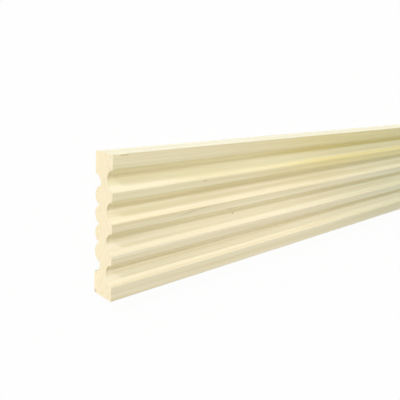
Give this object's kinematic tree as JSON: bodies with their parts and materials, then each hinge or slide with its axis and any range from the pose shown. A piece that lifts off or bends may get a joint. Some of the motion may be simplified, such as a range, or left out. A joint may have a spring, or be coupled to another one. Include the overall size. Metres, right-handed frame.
{
  "type": "fluted casing",
  "caption": "Reversible wooden door or window casing, with flutes along one face and reeds between two coves along the other.",
  "frame": {"origin": "middle of the length and width, in the plane the casing lies on", "axes": "+X along the length, away from the cut end shown in the picture; +Y across the width; +Z out of the fluted face, which lies up, with the reeded face down"},
  "size_m": [2.1336, 0.0826, 0.0175],
  "materials": {
    "bare_wood": "matt, planed and unfinished"
  },
  "bodies": {
    "root": {"fluted_casing": "bare_wood"}
  },
  "joints": []
}
